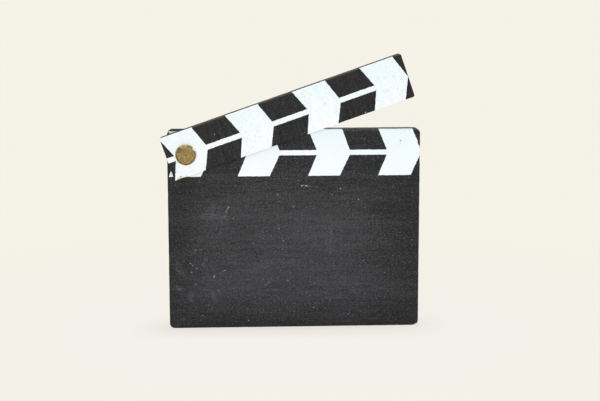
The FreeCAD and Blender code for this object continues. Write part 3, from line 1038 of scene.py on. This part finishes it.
class CLAPPERBOARD_OT_chevrons(bpy.types.Operator):
    """Lays the white chevrons on the board and on the stick."""

    bl_idname = "clapperboard.chevrons"
    bl_label = "Chevrons"

    def execute(self, context):
        settings = context.scene.clapperboard
        sheet = settings.chevrons
        film = sheet.film / MM
        waver = sheet.waver / MM

        wood = board_wood(settings.board)
        line, bottom = sheet.board_line, sheet.board_bottom
        corners = chevron_corners(sheet, sheet.board_notches, sheet.board_tip, line, bottom, wood)
        outline = print_outline(corners, wood, waver, lead=0.5, ragged=0.35)
        piece = film_piece("board_print", outline, wood, film, gaps=(0.5, 0.45))
        inks = sheet.ink, sheet.thin
        finish = ink_finish("board_ink", inks, BOARD_PINHOLES, grain=(0.3, 1, 1), pores=0.16, soil=0.15)
        settle(piece, finish, HINGE["parent"], "board_chevrons")

        wood = stick_wood(settings.stick)
        corners = chevron_corners(sheet, sheet.stick_notches, 0, sheet.stick_line, wood.low.z * MM, wood)
        outline = print_outline(corners, wood, waver, lead=0, ragged=0)
        piece = film_piece("stick_print", outline, wood, film, gaps=(0.45, 0.5))
        # Painted shade: the stick's inks are shaded copies of the board's, a little darker, so that its
        # whites come out greyer than the board's.
        inks = shade(sheet.ink, 0.97), shade(sheet.thin, 0.97)
        finish = ink_finish("stick_ink", inks, STICK_PINHOLES, grain=(1, 1, 0.28), pores=0.65, soil=0.3)
        settle(piece, finish, HINGE["child"], "stick_chevrons")
        return {"FINISHED"}


class CLAPPERBOARD_OT_rivet(bpy.types.Operator):
    """Turns the brass rivet."""

    bl_idname = "clapperboard.rivet"
    bl_label = "Rivet"

    def execute(self, context):
        settings = context.scene.clapperboard.rivet
        low, high = [(corner - PIVOT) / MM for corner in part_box("pivot_rivet")]
        washer_back = (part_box("rivet_washer")[1] - PIVOT).y / MM

        def blemish(spot, push, turn):
            """Dents round the head, a burr at its foot and the uneven roll of the tail."""
            if spot.y > washer_back:
                return push * TAIL_ROLL * round_noise(turn, layer=4, wave=2.5)
            if spot.y > low.y + DENT_DEPTH:
                return Vector()
            share = max(0.0, push.dot(spot) / high.x - DENT_START) / (1 - DENT_START)
            burr = BURR * math.exp(-((turn - BURR_TURN) / BURR_WIDTH) ** 2)
            burr *= max(0.0, 1 - abs(spot.y - low.y - BURR_DEPTH) / BURR_HEIGHT)
            dent = HEAD_DENT * max(0.0, round_noise(turn, layer=1, wave=3))
            return push * share * (burr - dent)

        rings = rivet_rings(settings, low.y, high.x, washer_back, high.y)
        shape, _ = turned_shape(rings, blemish, segments=128)
        piece = shape.piece("brass_rivet", BOARD_PLACE, sharp=30)
        settle(piece, rivet_finish(settings), HINGE["parent"], "pivot_rivet")
        return {"FINISHED"}


class CLAPPERBOARD_OT_washer(bpy.types.Operator):
    """Stamps the washer behind the board."""

    bl_idname = "clapperboard.washer"
    bl_label = "Washer"

    def execute(self, context):
        settings = context.scene.clapperboard.washer
        low, high = [(corner - PIVOT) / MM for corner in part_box("rivet_washer")]

        def blemish(spot, push, turn):
            """A little play in the stamped edge."""
            return push * -STAMP_PLAY * abs(round_noise(turn, layer=2, wave=2))

        rings = washer_rings(settings, low.y, high.y, high.x)
        shape, loops = turned_shape(rings, blemish, segments=112)
        shape.bridge(loops[-1], loops[0])
        piece = shape.piece("brass_washer", BOARD_PLACE, sharp=30)
        settle(piece, washer_finish(settings), HINGE["parent"], "rivet_washer")
        return {"FINISHED"}


def seen_rays(recipe):
    """1 for what the camera sees, also in reflections, and 0 for what only lights the board."""
    kinds = "Camera", "Glossy", "Transmission"
    return greatest(*[recipe.node("LightPath", output=f"Is {kind} Ray") for kind in kinds])


def floor_finish(settings):
    """Pale matt floor that turns into the backdrop's plain light far behind the board."""
    recipe = Recipe(bpy.data.materials.new("pale_floor"))
    spot = recipe.node("TexCoord", output="Object")
    away = recipe.node("VectorMath", {0: spot}, "Value", operation="LENGTH")
    near = recipe.node("BsdfDiffuse", {"Color": (*settings.floor, 1)})
    far = recipe.node("Emission", {"Color": (*settings.backdrop, 1)})
    seen = seen_rays(recipe) * (1 - FLOOR_SHADE + away.fade(0.0, 0.2) * FLOOR_SHADE)
    share = greatest(away.fade(0.05, 0.3), seen)
    ground = recipe.node("MixShader", {0: share, 1: near, 2: far})
    return recipe.end("OutputMaterial", ground)


def studio_world(settings):
    """Even light from all round, and the backdrop that is seen."""
    recipe = Recipe(bpy.data.worlds.new("studio"))
    light = recipe.node("Background", {"Color": (1, 0.99, 0.96, 1), "Strength": settings.fill})
    backdrop = recipe.node("Background", {"Color": (*settings.backdrop, 1)})
    mixed = recipe.node("MixShader", {0: seen_rays(recipe), 1: light, 2: backdrop})
    return recipe.end("OutputWorld", mixed)


def aimed(name, data, spot, aim, roll=0):
    """A lamp or camera that stands on a spot, turned to its aim."""
    made = added(name, data)
    made.location = spot
    made.rotation_mode = "QUATERNION"
    made.rotation_quaternion = (aim - spot).to_track_quat("-Z", "Y") @ Quaternion((0, 0, 1), roll)
    return made


def soft_lamp(name, bearing, rise, size, watts):
    """A square soft lamp turned to the board, itself unseen."""
    lamp = bpy.data.lights.new(name, "AREA")
    lamp.energy = watts
    lamp.size = size
    bearing, rise = math.radians(bearing), math.radians(rise)
    way = Vector((math.sin(bearing) * math.cos(rise), -math.cos(bearing) * math.cos(rise), math.sin(rise)))
    aimed(name, lamp, LAMP_AIM + way * LAMP_DISTANCE, LAMP_AIM).visible_camera = False


class CLAPPERBOARD_OT_stage(bpy.types.Operator):
    """Sets the floor, the light and the camera."""

    bl_idname = "clapperboard.stage"
    bl_label = "Stage"

    def execute(self, context):
        settings = context.scene.clapperboard.stage
        disc = bmesh.new()
        bmesh.ops.create_circle(disc, cap_ends=True, segments=96, radius=14)
        mesh = bpy.data.meshes.new("floor")
        disc.to_mesh(mesh)
        disc.free()
        mesh.materials.append(floor_finish(settings))
        floor = added("floor", mesh)
        context.scene.world = studio_world(settings)
        for side, bearing, rise, size in LAMPS:
            soft_lamp(f"lamp_{side}", bearing, rise, size, getattr(settings, side))

        lens = bpy.data.cameras.new("camera")
        lens.lens = settings.lens
        lens.sensor_width = 36
        lens.clip_start = 0.01
        stand, aim = Vector(settings.stand), Vector(settings.aim)
        context.scene.camera = aimed("camera", lens, stand, aim, settings.roll)
        context.scene.view_settings.view_transform = "Standard"
        return {"FINISHED"}


class CLAPPERBOARD_PT_pieces(bpy.types.Panel):
    """Lists the pieces, each with its settings."""

    bl_idname = "CLAPPERBOARD_PT_pieces"
    bl_label = "Clapperboard"
    bl_space_type = "VIEW_3D"
    bl_region_type = "UI"
    bl_category = "Clapperboard"

    def draw(self, context):
        for group, (settings, operator) in PIECES.items():
            self.layout.operator(operator.bl_idname)
            for name in settings.__annotations__:
                self.layout.prop(getattr(context.scene.clapperboard, group), name)


PIECES = {
    "board": (BoardSettings, CLAPPERBOARD_OT_board),
    "stick": (StickSettings, CLAPPERBOARD_OT_stick),
    "chevrons": (PrintSettings, CLAPPERBOARD_OT_chevrons),
    "rivet": (RivetSettings, CLAPPERBOARD_OT_rivet),
    "washer": (WasherSettings, CLAPPERBOARD_OT_washer),
    "stage": (StageSettings, CLAPPERBOARD_OT_stage),
}
CLASSES = [
    *[settings for settings, _ in PIECES.values()],
    ClapperboardSettings,
    *[operator for _, operator in PIECES.values()],
    CLAPPERBOARD_PT_pieces,
]


def register():
    """Makes the settings, the operators and the panel known."""
    for entry in CLASSES:
        bpy.utils.register_class(entry)
    bpy.types.Scene.clapperboard = PointerProperty(type=ClapperboardSettings)


def unregister():
    """Takes them away again."""
    del bpy.types.Scene.clapperboard
    for entry in reversed(CLASSES):
        bpy.utils.unregister_class(entry)


def main():
    """Builds every piece and the stage."""
    register()
    bpy.ops.clapperboard.board()
    bpy.ops.clapperboard.stick()
    bpy.ops.clapperboard.chevrons()
    bpy.ops.clapperboard.rivet()
    bpy.ops.clapperboard.washer()
    bpy.ops.clapperboard.stage()


if __name__ == "__main__":
    main()
